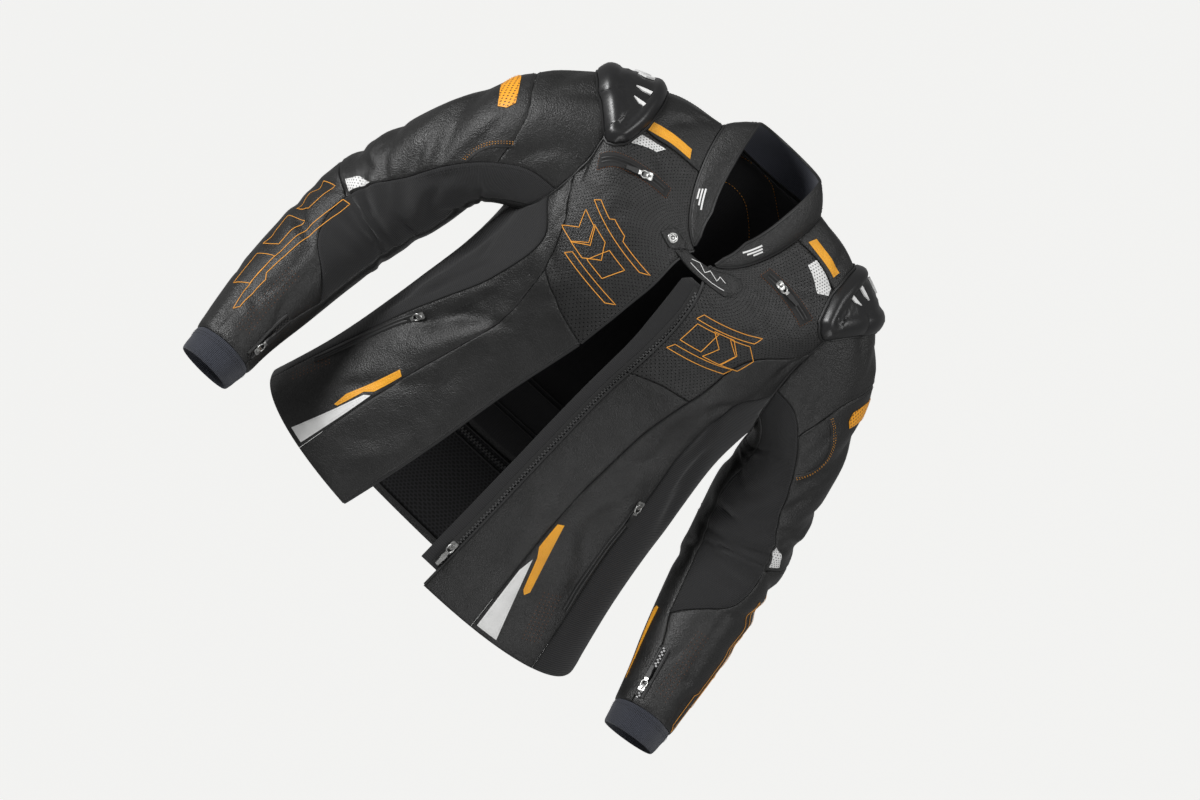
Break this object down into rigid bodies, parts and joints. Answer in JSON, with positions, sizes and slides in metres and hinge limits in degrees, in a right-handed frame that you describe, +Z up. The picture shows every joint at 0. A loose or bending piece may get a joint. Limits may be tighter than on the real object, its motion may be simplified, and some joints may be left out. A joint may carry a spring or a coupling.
{
  "type": "leather motorcycle jacket",
  "caption": "Hollow leather motorcycle jacket, open at the front, with stretch panels, moulded shoulder cups, zips, neck strap and coloured patches.",
  "frame": {"origin": "between the shoulders at the base of the neck, where the wearer's shoulders hold the jacket", "axes": "+Z up, the front faces -Y, the wearer's left is +X"},
  "size_m": [0.7547, 0.2907, 0.7037],
  "materials": {
    "black_leather": "fine pebbled grain, soft sheen",
    "stretch_fabric": "matte woven stretch",
    "navy_fabric": "matte knit",
    "orange_leather": "satin",
    "white_leather": "satin",
    "lining_fabric": "matte",
    "black_rubber": "satin",
    "moulded_plastic": "satin",
    "nickel": "polished"
  },
  "bodies": {
    "jacket": {"back_lining": "lining_fabric", "back_panel": "black_leather", "chest_panel_left": "black_leather", "chest_panel_right": "black_leather", "chest_zip_left": "black_rubber", "chest_zip_right": "black_rubber", "collar_lining": "navy_fabric", "collar_outer": "black_leather", "cuff_zip_left": "black_rubber", "cuff_zip_right": "black_rubber", "elbow_patch_white_left": "white_leather", "elbow_patch_white_right": "white_leather", "forearm_left": "black_leather", "forearm_patch_orange_left": "orange_leather", "forearm_right": "black_leather", "front_lower_left": "black_leather", "front_lower_right": "black_leather", "hem_patch_orange_left": "orange_leather", "hem_patch_orange_right": "orange_leather", "hem_patch_white_left": "white_leather", "hem_patch_white_right": "white_leather", "knit_cuff_left": "navy_fabric", "knit_cuff_right": "navy_fabric", "lining_mesh": "lining_fabric", "main_zip": "black_rubber", "neck_snap": "nickel", "neck_strap": "black_leather", "neck_tab": "black_leather", "pocket_zip_left": "black_rubber", "pocket_zip_right": "black_rubber", "shoulder_cup_left": "moulded_plastic", "shoulder_cup_right": "moulded_plastic", "shoulder_patch_orange_left": "orange_leather", "shoulder_patch_orange_right": "orange_leather", "shoulder_patch_white_left": "white_leather", "shoulder_patch_white_right": "white_leather", "shoulder_yoke_left": "black_leather", "shoulder_yoke_right": "black_leather", "side_front_left": "black_leather", "side_front_right": "black_leather", "side_stretch_left": "stretch_fabric", "side_stretch_right": "stretch_fabric", "sleeve_cap_left": "black_leather", "sleeve_cap_right": "black_leather", "sleeve_outer_left": "black_leather", "sleeve_outer_right": "black_leather", "sleeve_patch_orange_left": "orange_leather", "sleeve_patch_orange_right": "orange_leather", "sleeve_stretch_left": "stretch_fabric", "sleeve_stretch_right": "stretch_fabric", "sleeve_strip_left": "black_leather", "sleeve_strip_right": "black_leather", "wind_flap": "lining_fabric"},
    "chest_pull_right_tab": {"chest_pull_right": "nickel"},
    "pocket_pull_right_tab": {"pocket_pull_right": "nickel"},
    "cuff_pull_right_tab": {"cuff_pull_right": "nickel"},
    "chest_pull_left_tab": {"chest_pull_left": "nickel"},
    "pocket_pull_left_tab": {"pocket_pull_left": "nickel"},
    "cuff_pull_left_tab": {"cuff_pull_left": "nickel"},
    "main_pull_tab": {"main_pull": "nickel"}
  },
  "joints": [
    {"name": "chest_pull_right_hinge", "type": "hinge", "parent": "jacket", "child": "chest_pull_right_tab", "pos_m": [-0.1094, -0.0758, -0.0805], "axis": [-0.3922, 0.5318, 0.7506], "range_deg": [0, 100]},
    {"name": "pocket_pull_right_hinge", "type": "hinge", "parent": "jacket", "child": "pocket_pull_right_tab", "pos_m": [-0.1865, -0.0583, -0.3951], "axis": [-0.8734, 0.2911, 0.3905], "range_deg": [0, 100]},
    {"name": "cuff_pull_right_hinge", "type": "hinge", "parent": "jacket", "child": "cuff_pull_right_tab", "pos_m": [-0.3026, -0.1486, -0.5276], "axis": [0.73, 0.498, -0.4681], "range_deg": [0, 100]},
    {"name": "chest_pull_left_hinge", "type": "hinge", "parent": "jacket", "child": "chest_pull_left_tab", "pos_m": [0.0892, -0.0701, -0.0719], "axis": [-0.1935, -0.58, -0.7913], "range_deg": [0, 100]},
    {"name": "pocket_pull_left_hinge", "type": "hinge", "parent": "jacket", "child": "pocket_pull_left_tab", "pos_m": [0.1563, -0.0843, -0.381], "axis": [-0.8023, -0.5845, -0.1216], "range_deg": [0, 100]},
    {"name": "cuff_pull_left_hinge", "type": "hinge", "parent": "jacket", "child": "cuff_pull_left_tab", "pos_m": [0.3017, -0.1486, -0.5276], "axis": [0.7275, -0.467, 0.5027], "range_deg": [0, 100]},
    {"name": "main_pull_hinge", "type": "hinge", "parent": "jacket", "child": "main_pull_tab", "pos_m": [0.0259, -0.1154, -0.5635], "axis": [-0.9996, -0.027, -0.008], "range_deg": [0, 100]}
  ]
}
